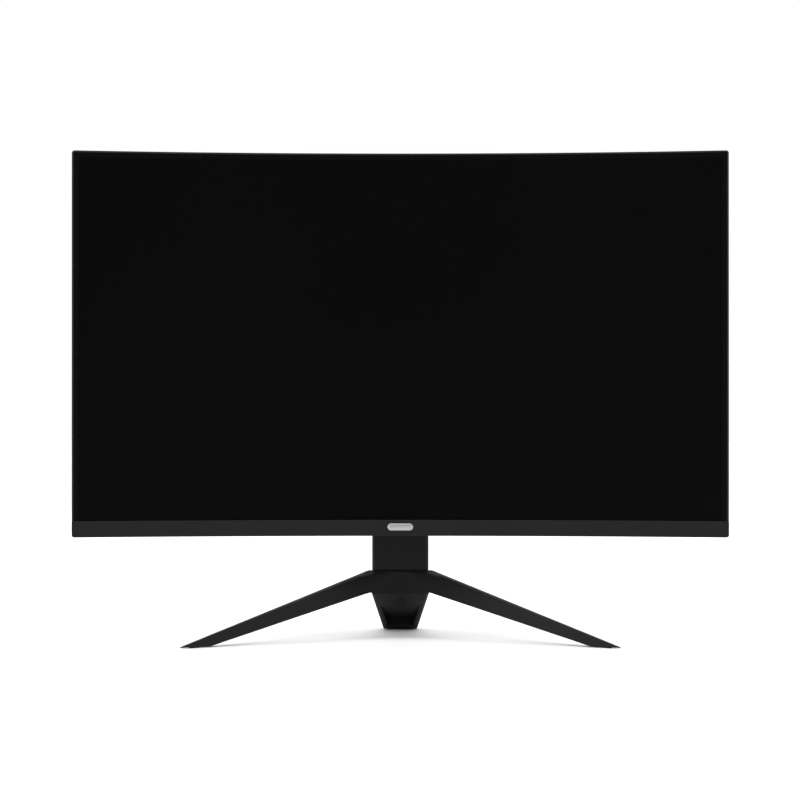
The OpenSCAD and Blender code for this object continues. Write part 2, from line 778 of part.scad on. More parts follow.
module base_casting() color([0.1, 0.1, 0.105])
    difference() {
        union() {
            hub();
            for (side = [0, 1])
                mirror([side, 0, 0]) {
                    front_leg();
                    leg_web();
                }
            block([-column_w / 2 + collar_inset, column_w / 2 - collar_inset],
                  [pivot_y - column_d / 2 + 1, pivot_y + column_d / 2 - 1], [hub_z - 1, column_z]);
        }
        block([-core_half_w - fit_gap, core_half_w + fit_gap],
              [pivot_y - core_half_d - fit_gap, pivot_y + core_half_d + fit_gap], [core_z, 100]);
        translate([0, base_screw_y, 0]) cylinder(h = 60, r = 3.2);
        translate([0, base_screw_y, 0]) cylinder(h = core_z - 4, r = 5.4);
        hub_scoop();
        pads(0.1, foot_rise + pad_sink);
    }

module base_screw() color([0.3, 0.3, 0.31])
    difference() {
        union() {
            translate([0, base_screw_y, core_z - 8]) cylinder(h = 4, r = 5);
            translate([0, base_screw_y, core_z - 4.01]) cylinder(h = 18, r = 2.95);
        }
        translate([0, base_screw_y, core_z - 9]) cylinder(h = 3.5, r = 2.9, $fn = 6);
    }

// Plug that closes the screw's well, flush with the hub's underside
module screw_plug() color([0.05, 0.05, 0.05])
    intersection() {
        hub();
        translate([0, base_screw_y, 0]) cylinder(h = core_z - 9, r = 5.3);
    }

module foot_pads() color([0.05, 0.05, 0.05])
    pads(0, foot_rise + pad_sink - 0.05);

// ---------------------------------------------------------------- output

lcd_panel();
optical_sheets();
light_guide();
reflector_sheet();
led_bar();
backlight_pan();
middle_frame();
chin_bezel();
badge();
power_led_lens();
rear_panel();
rear_housing();
cover_screws();
vesa_plate();
main_board();
driver_board();
timing_board();
panel_ribbon();
shield_can();
board_screws();
port_plate();
hdmi_ports();
displayport();
audio_jack();
dc_jack();
lock_insert();
joystick_board();
joystick_housing();
gimbal_ring();
joystick_stem();
joystick_cap();
head_bracket();
bracket_screws();
tilt_pin();
friction_washers();
disc_springs();
tilt_nut();
hinge_caps();
column_core();
column_front_cover();
column_rear_cover();
cable_grommet();
column_screws();
base_casting();
base_screw();
screw_plug();
foot_pads();
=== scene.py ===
"""Looks of a curved desktop monitor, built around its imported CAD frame.

Lengths are in metres, unless a comment says mm.
"""

import json
import math
import random

import bmesh
import bpy
from mathutils import Matrix, Vector

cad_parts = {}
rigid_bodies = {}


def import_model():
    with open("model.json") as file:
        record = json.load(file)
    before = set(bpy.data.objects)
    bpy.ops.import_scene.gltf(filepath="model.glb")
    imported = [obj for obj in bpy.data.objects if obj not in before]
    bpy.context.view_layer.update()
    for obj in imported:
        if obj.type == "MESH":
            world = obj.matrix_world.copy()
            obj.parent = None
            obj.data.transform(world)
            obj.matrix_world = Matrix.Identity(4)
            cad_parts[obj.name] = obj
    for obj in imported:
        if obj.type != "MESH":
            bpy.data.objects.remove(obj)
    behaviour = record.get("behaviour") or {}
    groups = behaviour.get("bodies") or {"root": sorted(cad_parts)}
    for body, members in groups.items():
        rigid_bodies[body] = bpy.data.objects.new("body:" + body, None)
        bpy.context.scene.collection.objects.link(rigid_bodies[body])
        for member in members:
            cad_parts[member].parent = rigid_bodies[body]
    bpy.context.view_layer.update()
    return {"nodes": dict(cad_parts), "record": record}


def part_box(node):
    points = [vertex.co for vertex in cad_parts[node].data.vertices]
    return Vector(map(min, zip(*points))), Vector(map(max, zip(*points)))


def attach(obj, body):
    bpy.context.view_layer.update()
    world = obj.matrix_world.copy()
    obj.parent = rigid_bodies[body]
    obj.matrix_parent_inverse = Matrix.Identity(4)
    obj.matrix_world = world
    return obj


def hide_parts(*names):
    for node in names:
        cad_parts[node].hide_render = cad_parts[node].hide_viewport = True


for stray in list(bpy.data.objects):
    bpy.data.objects.remove(stray)
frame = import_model()

MM = 0.001
NODES = frame["nodes"]
SLOT_OF = {part["node"]: part["material_slot"] for part in frame["record"]["subparts"]}
BODY_OF = {node: body for body, nodes in frame["record"]["behaviour"]["bodies"].items() for node in nodes}

# Radius of the curve that the badge follows
BADGE_CURVE_R = 1.5 + 2.2 * MM

# Distance between the centres of the two equal video sockets
SOCKET_PITCH = 21 * MM

# Distance of the two upper cover screws from the middle
UPPER_SCREW_X = 122 * MM


# ------------------------------------------------------------------ view and light

def make_camera():
    """Almost level view from straight ahead, through a long lens 2.45 m away."""
    data = bpy.data.cameras.new("camera")
    data.lens = 116.9
    data.sensor_width = 36.0
    data.clip_end = 60.0
    camera = bpy.data.objects.new("camera", data)
    camera.location = (-0.0003, -2.452, 0.218)
    camera.rotation_euler = (math.radians(90.154), 0.0, 0.0)
    bpy.context.scene.collection.objects.link(camera)
    bpy.context.scene.camera = camera


def make_light(name, place, aim, size, power):
    """Square soft box that shines from place towards aim."""
    data = bpy.data.lights.new(name, "AREA")
    data.shape = "RECTANGLE"
    data.size, data.size_y = size
    data.energy = power
    light = bpy.data.objects.new(name, data)
    light.location = place
    direction = Vector(aim) - Vector(place)
    light.rotation_euler = direction.to_track_quat("-Z", "Y").to_euler()
    bpy.context.scene.collection.objects.link(light)


def make_sky(strength):
    """Very soft light from straight above, even over the whole floor."""
    data = bpy.data.lights.new("sky", "SUN")
    data.energy = strength
    data.angle = math.radians(100)
    sky = bpy.data.objects.new("sky", data)
    bpy.context.scene.collection.objects.link(sky)


def make_world():
    """White backdrop, with weaker light from the sides than from above."""
    world = bpy.data.worlds.new("studio")
    world.use_nodes = True
    bpy.context.scene.world = world
    tree = world.node_tree
    light = tree.nodes["Background"]
    coords = tree.nodes.new("ShaderNodeTexCoord")
    split = tree.nodes.new("ShaderNodeSeparateXYZ")
    tree.links.new(coords.outputs["Generated"], split.inputs[0])
    ramp = tree.nodes.new("ShaderNodeValToRGB")
    ramp.color_ramp.elements[0].position = 0.0
    ramp.color_ramp.elements[0].color = (0.05, 0.05, 0.052, 1)
    ramp.color_ramp.elements[1].position = 0.9
    ramp.color_ramp.elements[1].color = (0.55, 0.55, 0.55, 1)
    tree.links.new(split.outputs["Z"], ramp.inputs[0])
    tree.links.new(ramp.outputs["Color"], light.inputs["Color"])
    backdrop = tree.nodes.new("ShaderNodeBackground")
    backdrop.inputs["Color"].default_value = (1, 1, 1, 1)
    backdrop.inputs["Strength"].default_value = 1.0
    path = tree.nodes.new("ShaderNodeLightPath")
    mix = tree.nodes.new("ShaderNodeMixShader")
    tree.links.new(path.outputs["Is Camera Ray"], mix.inputs[0])
    tree.links.new(light.outputs[0], mix.inputs[1])
    tree.links.new(backdrop.outputs[0], mix.inputs[2])
    tree.links.new(mix.outputs[0], tree.nodes["World Output"].inputs["Surface"])


def make_studio():
    """Pale floor, white backdrop and soft lights."""
    bpy.context.scene.view_settings.view_transform = "Standard"
    make_world()
    make_sky(3.0)
    low_aim = (0, 0, 0.1)
    make_light("left_box", (-2.5, -0.6, 0.8), low_aim, (1.2, 1.4), 32)
    make_light("right_box", (2.5, -0.6, 0.8), low_aim, (1.2, 1.4), 27)
    make_light("front_box", (0.0, -2.8, 2.0), low_aim, (2.4, 1.0), 12)
    make_light("rear_box", (0.0, 2.6, 1.5), (0, 0, 0.2), (2.2, 1.4), 22)

    half = 14.0
    mesh = bpy.data.meshes.new("floor")
    corners = [(-half, -half, 0), (half, -half, 0), (half, half, 0), (-half, half, 0)]
    mesh.from_pydata(corners, [], [(0, 1, 2, 3)])
    floor = bpy.data.objects.new("floor", mesh)
    bpy.context.scene.collection.objects.link(floor)
    look = Look("floor_paper", roughness=0.75, specular=0.2)
    look.colours(look.noise(3.0, 2), (0.83, 0.83, 0.83), (0.86, 0.86, 0.86))
    look.bumps(look.noise(900, 2), 0.02 * MM)
    mesh.materials.append(look.material)


# ------------------------------------------------------------------ materials

class Look:
    """A procedural material: a Principled shader fed by textures in object space."""

    def __init__(self, name, roughness=0.5, metallic=0.0, specular=0.5, **sockets):
        self.material = bpy.data.materials.new(name)
        self.material.use_nodes = True
        self.tree = self.material.node_tree
        self.shader = self.tree.nodes["Principled BSDF"]
        self.shader.inputs["Roughness"].default_value = roughness
        self.shader.inputs["Metallic"].default_value = metallic
        self.shader.inputs["Specular IOR Level"].default_value = specular
        for socket, value in sockets.items():
            self.shader.inputs[socket.replace("_", " ")].default_value = value
        self.coords = self.add("ShaderNodeTexCoord").outputs["Object"]
        self.normal = None

    def add(self, kind, inputs=None, **settings):
        """A node of that kind; inputs maps a socket's name or number to a value or another socket."""
        node = self.tree.nodes.new(kind)
        for key, value in settings.items():
            setattr(node, key, value)
        for key, value in (inputs or {}).items():
            if isinstance(value, bpy.types.NodeSocket):
                self.tree.links.new(value, node.inputs[key])
            else:
                node.inputs[key].default_value = value
        return node

    def stretched(self, stretch):
        """Object coordinates scaled along each axis, for grain that runs one way."""
        return self.add("ShaderNodeMapping", {"Vector": self.coords, "Scale": stretch}).outputs[0]

    def noise(self, scale, detail, stretch=None, roughness=0.5):
        """Soft noise from 0 to 1, with about scale bumps to a metre."""
        vector = self.stretched(stretch) if stretch else self.coords
        return self.add("ShaderNodeTexNoise", {"Vector": vector, "Scale": scale, "Detail": detail,
                                               "Roughness": roughness}).outputs["Fac"]

    def cells(self, scale, feature="F1", distance="EUCLIDEAN", stretch=None):
        """Distance to the nearest of scattered points, about scale of them to a metre."""
        vector = self.stretched(stretch) if stretch else self.coords
        return self.add("ShaderNodeTexVoronoi", {"Vector": vector, "Scale": scale},
                        feature=feature, distance=distance).outputs["Distance"]

    def spread(self, value, low, high, to_low=0.0, to_high=1.0):
        """value, mapped from one range to another and clamped."""
        return self.add("ShaderNodeMapRange", {"Value": value, "From Min": low, "From Max": high,
                                               "To Min": to_low, "To Max": to_high}).outputs[0]

    def maths(self, operation, a, b):
        return self.add("ShaderNodeMath", {0: a, 1: b}, operation=operation).outputs[0]

    def mixed(self, factor, a, b):
        """Colour between a and b; each is a colour or a colour socket."""
        node = self.add("ShaderNodeMix", data_type="RGBA")
        for key, value in ((0, factor), (6, a), (7, b)):
            if isinstance(value, bpy.types.NodeSocket):
                self.tree.links.new(value, node.inputs[key])
            else:
                node.inputs[key].default_value = (*value, 1) if isinstance(value, tuple) else value
        return node.outputs[2]

    def colours(self, factor, a, b):
        """Base colour between a and b."""
        self.tree.links.new(self.mixed(factor, a, b), self.shader.inputs["Base Color"])

    def rough(self, value, low, high):
        """Roughness from low to high as value goes from 0.3 to 0.7."""
        self.tree.links.new(self.spread(value, 0.3, 0.7, low, high), self.shader.inputs["Roughness"])

    def bumps(self, height, depth, strength=1.0):
        """Adds relief of that depth in metres on top of what is there."""
        inputs = {"Height": height, "Distance": depth, "Strength": strength}
        if self.normal:
            inputs["Normal"] = self.normal
        self.normal = self.add("ShaderNodeBump", inputs).outputs["Normal"]
        self.tree.links.new(self.normal, self.shader.inputs["Normal"])


def moulded(name, dark, light, rough, grain, depth=0.012):
    """Moulded plastic: eroded-tool grain of a size and depth in mm, faint clouding and handling marks."""
    look = Look(name, specular=0.2)
    cloud = look.noise(14, 3)
    speckle = look.noise(1000 / grain, 2)
    tone = look.maths("ADD", look.maths("MULTIPLY", cloud, 0.6), look.maths("MULTIPLY", speckle, 0.4))
    look.colours(look.spread(tone, 0.35, 0.65), dark, light)
    marks = look.noise(55, 4, roughness=0.65)
    look.rough(look.maths("ADD", look.maths("MULTIPLY", marks, 0.7), look.maths("MULTIPLY", speckle, 0.3)),
               rough - 0.06, rough + 0.06)
    look.bumps(look.cells(1000 / grain, "SMOOTH_F1"), depth * MM, 0.7)
    look.bumps(look.noise(180, 2), 0.01 * MM, 0.3)
    return look


def coated(name, dark, light, rough, specular=0.24):
    """Powder-coated metal: orange peel over a fine sparkle."""
    look = Look(name, specular=specular)
    cloud = look.noise(9, 3)
    look.colours(look.spread(cloud, 0.3, 0.7), dark, light)
    look.rough(look.noise(240, 3), rough - 0.05, rough + 0.07)
    look.bumps(look.noise(700, 2), 0.02 * MM, 0.6)
    look.bumps(look.cells(2600), 0.008 * MM, 0.5)
    return look


def metal(name, dark, light, rough, stretch=(1, 1, 1), scale=900):
    """Bare metal with grinding lines along one axis, spots and a little tarnish."""
    look = Look(name, metallic=1.0)
    lines = look.noise(scale, 3, stretch=stretch)
    stain = look.noise(35, 4, roughness=0.7)
    tone = look.maths("ADD", look.maths("MULTIPLY", lines, 0.5), look.maths("MULTIPLY", stain, 0.5))
    look.colours(look.spread(tone, 0.3, 0.7), dark, light)
    look.rough(tone, rough - 0.08, rough + 0.1)
    look.bumps(lines, 0.006 * MM, 0.5)
    return look


def screen_look():
    """Anti-glare screen, switched off: a black active area inside a slightly lighter border."""
    look = Look("screen_off", specular=0.04)
    split = look.add("ShaderNodeSeparateXYZ", {0: look.coords})
    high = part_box("lcd_panel")[1]
    border = 4.2 * MM
    edge_x = look.maths("SUBTRACT", high.x, look.maths("ABSOLUTE", split.outputs["X"], 0.0))
    edge_z = look.maths("SUBTRACT", high.z, split.outputs["Z"])
    edge = look.maths("MINIMUM", edge_x, edge_z)
    inside = look.spread(edge, border, border + 0.3 * MM)
    sparkle = look.noise(5200, 1)
    haze = look.spread(look.noise(2.2, 2), 0.35, 0.65)
    picture = look.mixed(haze, (0.0008, 0.0008, 0.0009), (0.0013, 0.0013, 0.0014))
    look.colours(inside, (0.0025, 0.0025, 0.0026), picture)
    look.rough(sparkle, 0.30, 0.42)
    look.bumps(sparkle, 0.004 * MM, 0.5)
    look.bumps(look.noise(26, 2), 0.01 * MM, 0.1)
    return look


def board_look():
    """Solder mask over copper runs, with pads."""
    look = Look("circuit_board", roughness=0.35, specular=0.5)
    runs = look.spread(look.cells(260, "F1", "MANHATTAN"), 0.42, 0.46)
    pads = look.spread(look.cells(420), 0.14, 0.11)
    mask = look.mixed(runs, (0.006, 0.05, 0.018), (0.012, 0.085, 0.03))
    look.colours(pads, mask, (0.5, 0.46, 0.33))
    look.rough(look.noise(120, 2), 0.28, 0.42)
    look.bumps(runs, 0.03 * MM, 0.6)
    return look


def film_look():
    """White diffusing film with a fine prism texture."""
    look = Look("optical_film", roughness=0.45, Subsurface_Weight=0.2)
    look.colours(look.noise(30, 2), (0.82, 0.83, 0.85), (0.9, 0.91, 0.92))
    look.bumps(look.noise(1500, 1, stretch=(1, 1, 0.02)), 0.03 * MM)
    return look


def acrylic_look():
    """Clear acrylic with a grid of extraction dots."""
    look = Look("acrylic_guide", roughness=0.08, Transmission_Weight=0.6, IOR=1.49)
    dots = look.spread(look.cells(500), 0.3, 0.22)
    look.colours(dots, (0.86, 0.92, 0.94), (0.97, 0.98, 0.98))
    look.bumps(dots, 0.02 * MM)
    return look


def rubber_look():
    """Black rubber with a dry, dusty bloom and a stippled skin."""
    look = Look("foot_rubber", specular=0.1)
    look.colours(look.spread(look.noise(160, 4), 0.35, 0.7), (0.006, 0.006, 0.006), (0.014, 0.0136, 0.0132))
    look.rough(look.noise(300, 3), 0.72, 0.9)
    look.bumps(look.cells(1400), 0.05 * MM, 0.8)
    return look


def badge_look():
    """Satin aluminium with a straight brush along its length."""
    return metal("badge_silver", (0.42, 0.42, 0.43), (0.54, 0.54, 0.55), 0.34,
                 stretch=(0.03, 1, 1), scale=3200)


def lens_look():
    """Clear light guide with a milky core."""
    look = Look("led_lens", roughness=0.12, Transmission_Weight=0.5, IOR=1.5)
    look.colours(look.noise(900, 2), (0.78, 0.82, 0.86), (0.92, 0.95, 0.98))
    look.bumps(look.noise(2500, 1), 0.004 * MM)
    return look


def strip_look():
    """White-masked strip with yellow diodes along X."""
    look = Look("led_strip", roughness=0.4)
    diodes = look.spread(look.cells(140, stretch=(1, 0.01, 0.01)), 0.3, 0.24)
    look.colours(diodes, (0.82, 0.82, 0.8), (0.85, 0.7, 0.2))
    look.bumps(diodes, 0.2 * MM)
    return look


def ribbon_look():
    """Flat cable: parallel conductors under a pale film."""
    look = Look("flat_ribbon", roughness=0.38)
    wires = look.spread(look.noise(900, 0, stretch=(1, 0.01, 0.01)), 0.45, 0.55)
    look.colours(wires, (0.62, 0.61, 0.55), (0.75, 0.74, 0.7))
    look.bumps(wires, 0.08 * MM)
    return look


# Finishes with a look of their own, by material slot
SPECIAL = {
    "screen_glass": screen_look, "film": film_look, "acrylic": acrylic_look, "led_strip": strip_look,
    "badge_silver": badge_look, "lens_clear": lens_look, "board_green": board_look,
    "ribbon_film": ribbon_look, "foot_rubber": rubber_look,
}

# Moulded plastics: darkest and lightest colour, roughness, grain in mm, and its depth where it differs
PLASTICS = {
    "frame_plastic": ((0.012, 0.012, 0.0125), (0.016, 0.016, 0.0165), 0.46, 0.3, 0.004),
    "chin_plastic": ((0.0052, 0.0052, 0.0054), (0.0073, 0.0073, 0.0076), 0.5, 0.34),
    "cover_plastic": ((0.016, 0.016, 0.017), (0.022, 0.022, 0.023), 0.55, 0.6, 0.03),
    "socket_plastic": ((0.008, 0.008, 0.008), (0.014, 0.014, 0.014), 0.45, 0.2),
    "control_plastic": ((0.012, 0.012, 0.013), (0.018, 0.018, 0.019), 0.4, 0.25),
    "gimbal_plastic": ((0.62, 0.61, 0.57), (0.7, 0.69, 0.65), 0.4, 0.25),
    "column_plastic": ((0.0028, 0.0028, 0.003), (0.0042, 0.0042, 0.0044), 0.46, 0.34),
}

# Coated metals: darkest and lightest colour, roughness, and specular level where it differs
COATINGS = {
    "plate_black": ((0.018, 0.018, 0.019), (0.026, 0.026, 0.027), 0.5),
    "bracket_black": ((0.016, 0.016, 0.017), (0.024, 0.024, 0.025), 0.46),
    "core_metal": ((0.012, 0.012, 0.0125), (0.018, 0.018, 0.0185), 0.38, 0.4),
    "base_metal": ((0.0118, 0.0118, 0.0121), (0.0152, 0.0152, 0.0156), 0.5, 0.05),
}

# Bare metals: darkest and lightest colour, roughness, and the lines' stretch and scale where they differ
METALS = {
    "pan_steel": ((0.5, 0.52, 0.54), (0.62, 0.64, 0.66), 0.38, (1, 1, 0.05), 500),
    "screw_black": ((0.03, 0.03, 0.032), (0.06, 0.06, 0.063), 0.42),
    "screw_steel": ((0.55, 0.55, 0.57), (0.68, 0.68, 0.7), 0.3),
    "socket_metal": ((0.5, 0.5, 0.52), (0.66, 0.66, 0.68), 0.28, (1, 1, 0.05)),
    "pin_steel": ((0.5, 0.51, 0.53), (0.62, 0.63, 0.65), 0.26, (0.05, 1, 1)),
    "washer_bronze": ((0.42, 0.28, 0.12), (0.58, 0.42, 0.2), 0.34),
}


def make_looks():
    """One finished material for each material slot of the record."""
    looks = {slot: make() for slot, make in SPECIAL.items()}
    for make, table in ((moulded, PLASTICS), (coated, COATINGS), (metal, METALS)):
        looks.update({slot: make(slot, *values) for slot, values in table.items()})
    return looks


# ------------------------------------------------------------------ mesh helpers

def new_piece(name, work, node, smooth_angle=32.0, slot=None):
    """An object made of bmesh work, which rides with a CAD node's body, in its finish or another slot's."""
    work.normal_update()
    for edge in work.edges:
        if len(edge.link_faces) == 2 and edge.calc_face_angle(0.0) > math.radians(smooth_angle):
            edge.smooth = False
    for face in work.faces:
        face.smooth = True
    mesh = bpy.data.meshes.new(name)
    work.to_mesh(mesh)
    work.free()
    piece = bpy.data.objects.new(name, mesh)
    bpy.context.scene.collection.objects.link(piece)
    finish = slot or SLOT_OF[node]
    mesh.materials.append(LOOKS[finish].material)
    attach(piece, BODY_OF[node])
    return piece


def weighted(piece):
    """Keeps flat faces flat next to rounded edges."""
    modifier = piece.modifiers.new("flat_faces", "WEIGHTED_NORMAL")
    modifier.keep_sharp = True


def outside(vertex, box):
    """Whether a vertex lies outside the box, or there is none."""
    return box is None or any(vertex.co[i] < box[0][i] or vertex.co[i] > box[1][i] for i in range(3))


def refined(node, width, segments, keep=None):
    """A finished copy of a CAD node: its flat faces whole and its sharp edges rounded by width mm.

    Edges with an end inside the box keep, its lowest corner first, stay as they are.
    """
    offset = width * MM
    sharp_angle, flat_angle = math.radians(28.0), math.radians(0.4)
    work = bmesh.new()
    work.from_mesh(NODES[node].data)
    bmesh.ops.remove_doubles(work, verts=work.verts, dist=0.001 * MM)
    free = [edge for edge in work.edges if all(outside(v, keep) for v in edge.verts)]
    bmesh.ops.dissolve_limit(work, angle_limit=flat_angle, edges=free,
                             verts=[v for v in work.verts if outside(v, keep)])
    sharp = [edge for edge in work.edges
             if len(edge.link_faces) == 2 and edge.calc_face_angle(0.0) > sharp_angle
             and edge.calc_length() > 1.2 * offset and all(outside(v, keep) for v in edge.verts)]
    bmesh.ops.bevel(work, geom=sharp, offset=offset, segments=segments, profile=0.5,
                    affect="EDGES", clamp_overlap=False, miter_outer="ARC")
    bmesh.ops.triangulate(work, faces=[face for face in work.faces if len(face.verts) > 4])
    piece = new_piece(node + "_fine", work, node)
    weighted(piece)
    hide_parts(node)


def add_box(work, low, high, edge=0.0):
    """Closed box with its edges rounded by edge."""
    part = bmesh.new()
    size = Vector(high) - Vector(low)
    place = Matrix.Translation((Vector(high) + Vector(low)) / 2) @ Matrix.Diagonal((*size, 1))
    bmesh.ops.create_cube(part, size=1.0, matrix=place)
    if edge:
        bmesh.ops.bevel(part, geom=list(part.edges), offset=edge, segments=2, profile=0.5, affect="EDGES")
    merge(work, part)


def merge(work, part, matrix=None):
    """Adds part's mesh to work, and frees part."""
    if matrix:
        bmesh.ops.transform(part, matrix=matrix, verts=part.verts)
    mesh = bpy.data.meshes.new("part")
    part.to_mesh(mesh)
    part.free()
    work.from_mesh(mesh)
    bpy.data.meshes.remove(mesh)


def ring_of(part, radius, height, count):
    """Loop of count new points round Z."""
    turn = 2 * math.pi / count
    return [part.verts.new((radius * math.cos(i * turn), radius * math.sin(i * turn), height))
            for i in range(count)]


def skin(part, lower, upper):
    """Side faces between two loops of the same number of points."""
    for i in range(len(lower)):
        j = (i + 1) % len(lower)
        part.faces.new((lower[i], lower[j], upper[j], upper[i]))


def turned(profile, count):
    """Solid of revolution about Z from (radius, height) pairs, lowest first, with flat ends."""
    part = bmesh.new()
    rings = [ring_of(part, radius, height, count) for radius, height in profile]
    for lower, upper in zip(rings, rings[1:]):
        skin(part, lower, upper)
    part.faces.new(list(reversed(rings[0])))
    part.faces.new(rings[-1])
    return part


def aimed(place, direction):
    """Matrix that carries +Z to a direction and the origin to a place."""
    return Matrix.Translation(place) @ Vector(direction).to_track_quat("Z", "Y").to_matrix().to_4x4()


def rounded_rim(radius, height, soft):
    """(radius, height) pairs of a quarter round that ends a cylinder's top."""
    steps = 4
    return [(radius - soft + soft * math.cos(a), height - soft + soft * math.sin(a))
            for a in (math.pi / 2 * i / steps for i in range(steps + 1))]


def cross_outline(reach, arm):
    """Twelve points of a cross with arms of that reach and half width, turning left."""
    quarter = [(reach, -arm), (reach, arm), (arm, arm)]
    points = []
    for turn in range(4):
        for x, y in quarter:
            for _ in range(turn):
                x, y = -y, x
            points.append((x, y))
    return points


def hex_outline(reach):
    """Six corners of a hexagon, each that far from its centre, turning left."""
    angles = [math.radians(60 * i) for i in range(6)]
    return [(reach * math.cos(a), reach * math.sin(a)) for a in angles]


def screw(radius, height, shank_r, shank_l, outline, depth):
    """Screw along Z: its head sits on z = 0 with a tapered recess, and its threaded shank points down."""
    part = bmesh.new()
    count = 48
    pitch, thread_depth, tip_chamfer = 0.7 * MM, 0.12 * MM, 0.3 * MM
    recess_taper = 0.72
    rings = []
    flanks = int(shank_l / pitch * 2)
    for i in range(flanks + 1):
        cut = (thread_depth if i % 2 else 0.0) + (tip_chamfer if i == 0 else 0.0)
        rings.append(ring_of(part, shank_r - cut, -shank_l + shank_l * i / flanks, count))
    for r, z in [(radius, 0.0)] + rounded_rim(radius, height, 0.3 * height):
        rings.append(ring_of(part, r, z, count))
    for lower, upper in zip(rings, rings[1:]):
        skin(part, lower, upper)
    part.faces.new(list(reversed(rings[0])))
    mouth = [part.verts.new((x, y, height)) for x, y in outline]
    floor = [part.verts.new((recess_taper * x, recess_taper * y, height - depth)) for x, y in outline]
    skin(part, floor, mouth)
    bmesh.ops.reverse_faces(part, faces=[f for f in part.faces if any(v in f.verts for v in floor)])
    part.faces.new(floor)
    rim = rings[-1]
    edges = []
    for loop in (rim, mouth):
        for i in range(len(loop)):
            a, b = loop[i], loop[(i + 1) % len(loop)]
            edges.append(part.edges.get((a, b)) or part.edges.new((a, b)))
    bmesh.ops.triangle_fill(part, edges=edges, use_beauty=True, use_dissolve=False)
    bmesh.ops.recalc_face_normals(part, faces=part.faces)
    return part


def add_screws(node, places, direction, head, shank, outline, depth):
    """Stands for a CAD node of identical screws, one at each place; head and shank are (radius, length)."""
    work = bmesh.new()
    for place in places:
        merge(work, screw(head[0], head[1], shank[0], shank[1], outline, depth), aimed(place, direction))
    piece = new_piece(node + "_fine", work, node)
    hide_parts(node)


# ------------------------------------------------------------------ pieces

def square_places(pitch, y, z):
    """Corners of an upright square with sides of pitch mm, about x = 0 and z."""
    half = pitch / 2 * MM
    return [(sx * half, y, z + sz * half) for sx in (-1, 1) for sz in (-1, 1)]


def make_screws():
    """Every screw, with a recess for its driver and a threaded shank."""
    cross = cross_outline(1.75 * MM, 0.42 * MM)
    small_cross = cross_outline(1.35 * MM, 0.33 * MM)
    backward = (0, 1, 0)

    low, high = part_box("bracket_screws")
    head = (3.8 * MM, 2.4 * MM)
    centre_z = (low.z + high.z) / 2
    add_screws("bracket_screws", square_places(75, high.y - head[1], centre_z), backward,
               head, (1.95 * MM, 10 * MM), cross, 1.5 * MM)

    low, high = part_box("column_screws")
    head = (2.9 * MM, 1.8 * MM)
    places = [(0, high.y - head[1], z) for z in (low.z + head[0], high.z - head[0])]
    add_screws("column_screws", places, backward, head, (1.45 * MM, 10 * MM), small_cross, 1.1 * MM)

    low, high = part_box("cover_screws")
    head = (2.8 * MM, 2 * MM)
    places = []
    for side in (-1, 1):
        places.append((side * UPPER_SCREW_X, high.y - head[1], high.z - head[0]))
        places.append((side * (high.x - head[0]), high.y - head[1], low.z + head[0]))
    add_screws("cover_screws", places, backward, head, (1.45 * MM, 9 * MM), small_cross, 1.2 * MM)

    head = (2.6 * MM, 1.6 * MM)
    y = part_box("board_screws")[1].y - head[1]
    inset_x, inset_z = 5 * MM, 6 * MM
    places = []
    for board in ("main_board", "driver_board"):
        low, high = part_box(board)
        places += [(x, y, z) for x in (low.x + inset_x, high.x - inset_x)
                   for z in (low.z + inset_z, high.z - inset_z)]
    add_screws("board_screws", places, backward, head, (1.45 * MM, 6 * MM), small_cross, 1.0 * MM)

    low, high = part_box("base_screw")
    head = (5 * MM, 4 * MM)
    centre = ((low.x + high.x) / 2, (low.y + high.y) / 2, low.z + head[1])
    add_screws("base_screw", [centre], (0, 0, -1), head, (2.95 * MM, 18 * MM), hex_outline(2.9 * MM), 3 * MM)


def make_badge():
    """Two-level satin badge: a bevelled raised field inside a narrow lower rim."""
    low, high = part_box("badge")
    centre = Vector(((low.x + high.x) / 2, high.y, (low.z + high.z) / 2))
    half_w, half_h = (high.x - low.x) / 2, (high.z - low.z) / 2
    depth, rim_drop, clear = 0.6 * MM, 0.18 * MM, 0.05 * MM
    arc_steps = 16

    def outline(inset):
        """Points of the lozenge, set in from the CAD badge's edge."""
        radius = half_h - inset - clear
        reach = half_w - half_h
        points = []
        for side, start in ((1, -90), (-1, 90)):
            for i in range(arc_steps + 1):
                a = math.radians(start + 180 * i / arc_steps)
                points.append((side * reach + radius * math.cos(a), radius * math.sin(a)))
        return points

    # (inset, height) of each loop, from the back over the rim to the raised field
    levels = [(0.0, 0.0), (0.0, depth - 0.3 * MM), (0.12 * MM, depth - rim_drop),
              (0.55 * MM, depth - rim_drop), (0.75 * MM, depth - 0.04 * MM), (1.0 * MM, depth)]
    part = bmesh.new()
    loops = [[part.verts.new((x, z, height)) for x, z in outline(inset)] for inset, height in levels]
    for lower, upper in zip(loops, loops[1:]):
        skin(part, lower, upper)
    part.faces.new(list(reversed(loops[0])))
    part.faces.new(loops[-1])
    facing = Matrix(((1, 0, 0, centre.x), (0, 0, -1, centre.y), (0, 1, 0, centre.z), (0, 0, 0, 1)))
    work = bmesh.new()
    merge(work, part, facing)
    bend(work, BADGE_CURVE_R)
    piece = new_piece("badge_fine", work, "badge", 20)
    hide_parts("badge")


def bend(work, radius):
    """Moves each point towards the viewer as far as the curve does at its distance from the centre."""
    for vertex in work.verts:
        vertex.co.y += math.sqrt(radius ** 2 - vertex.co.x ** 2) - radius


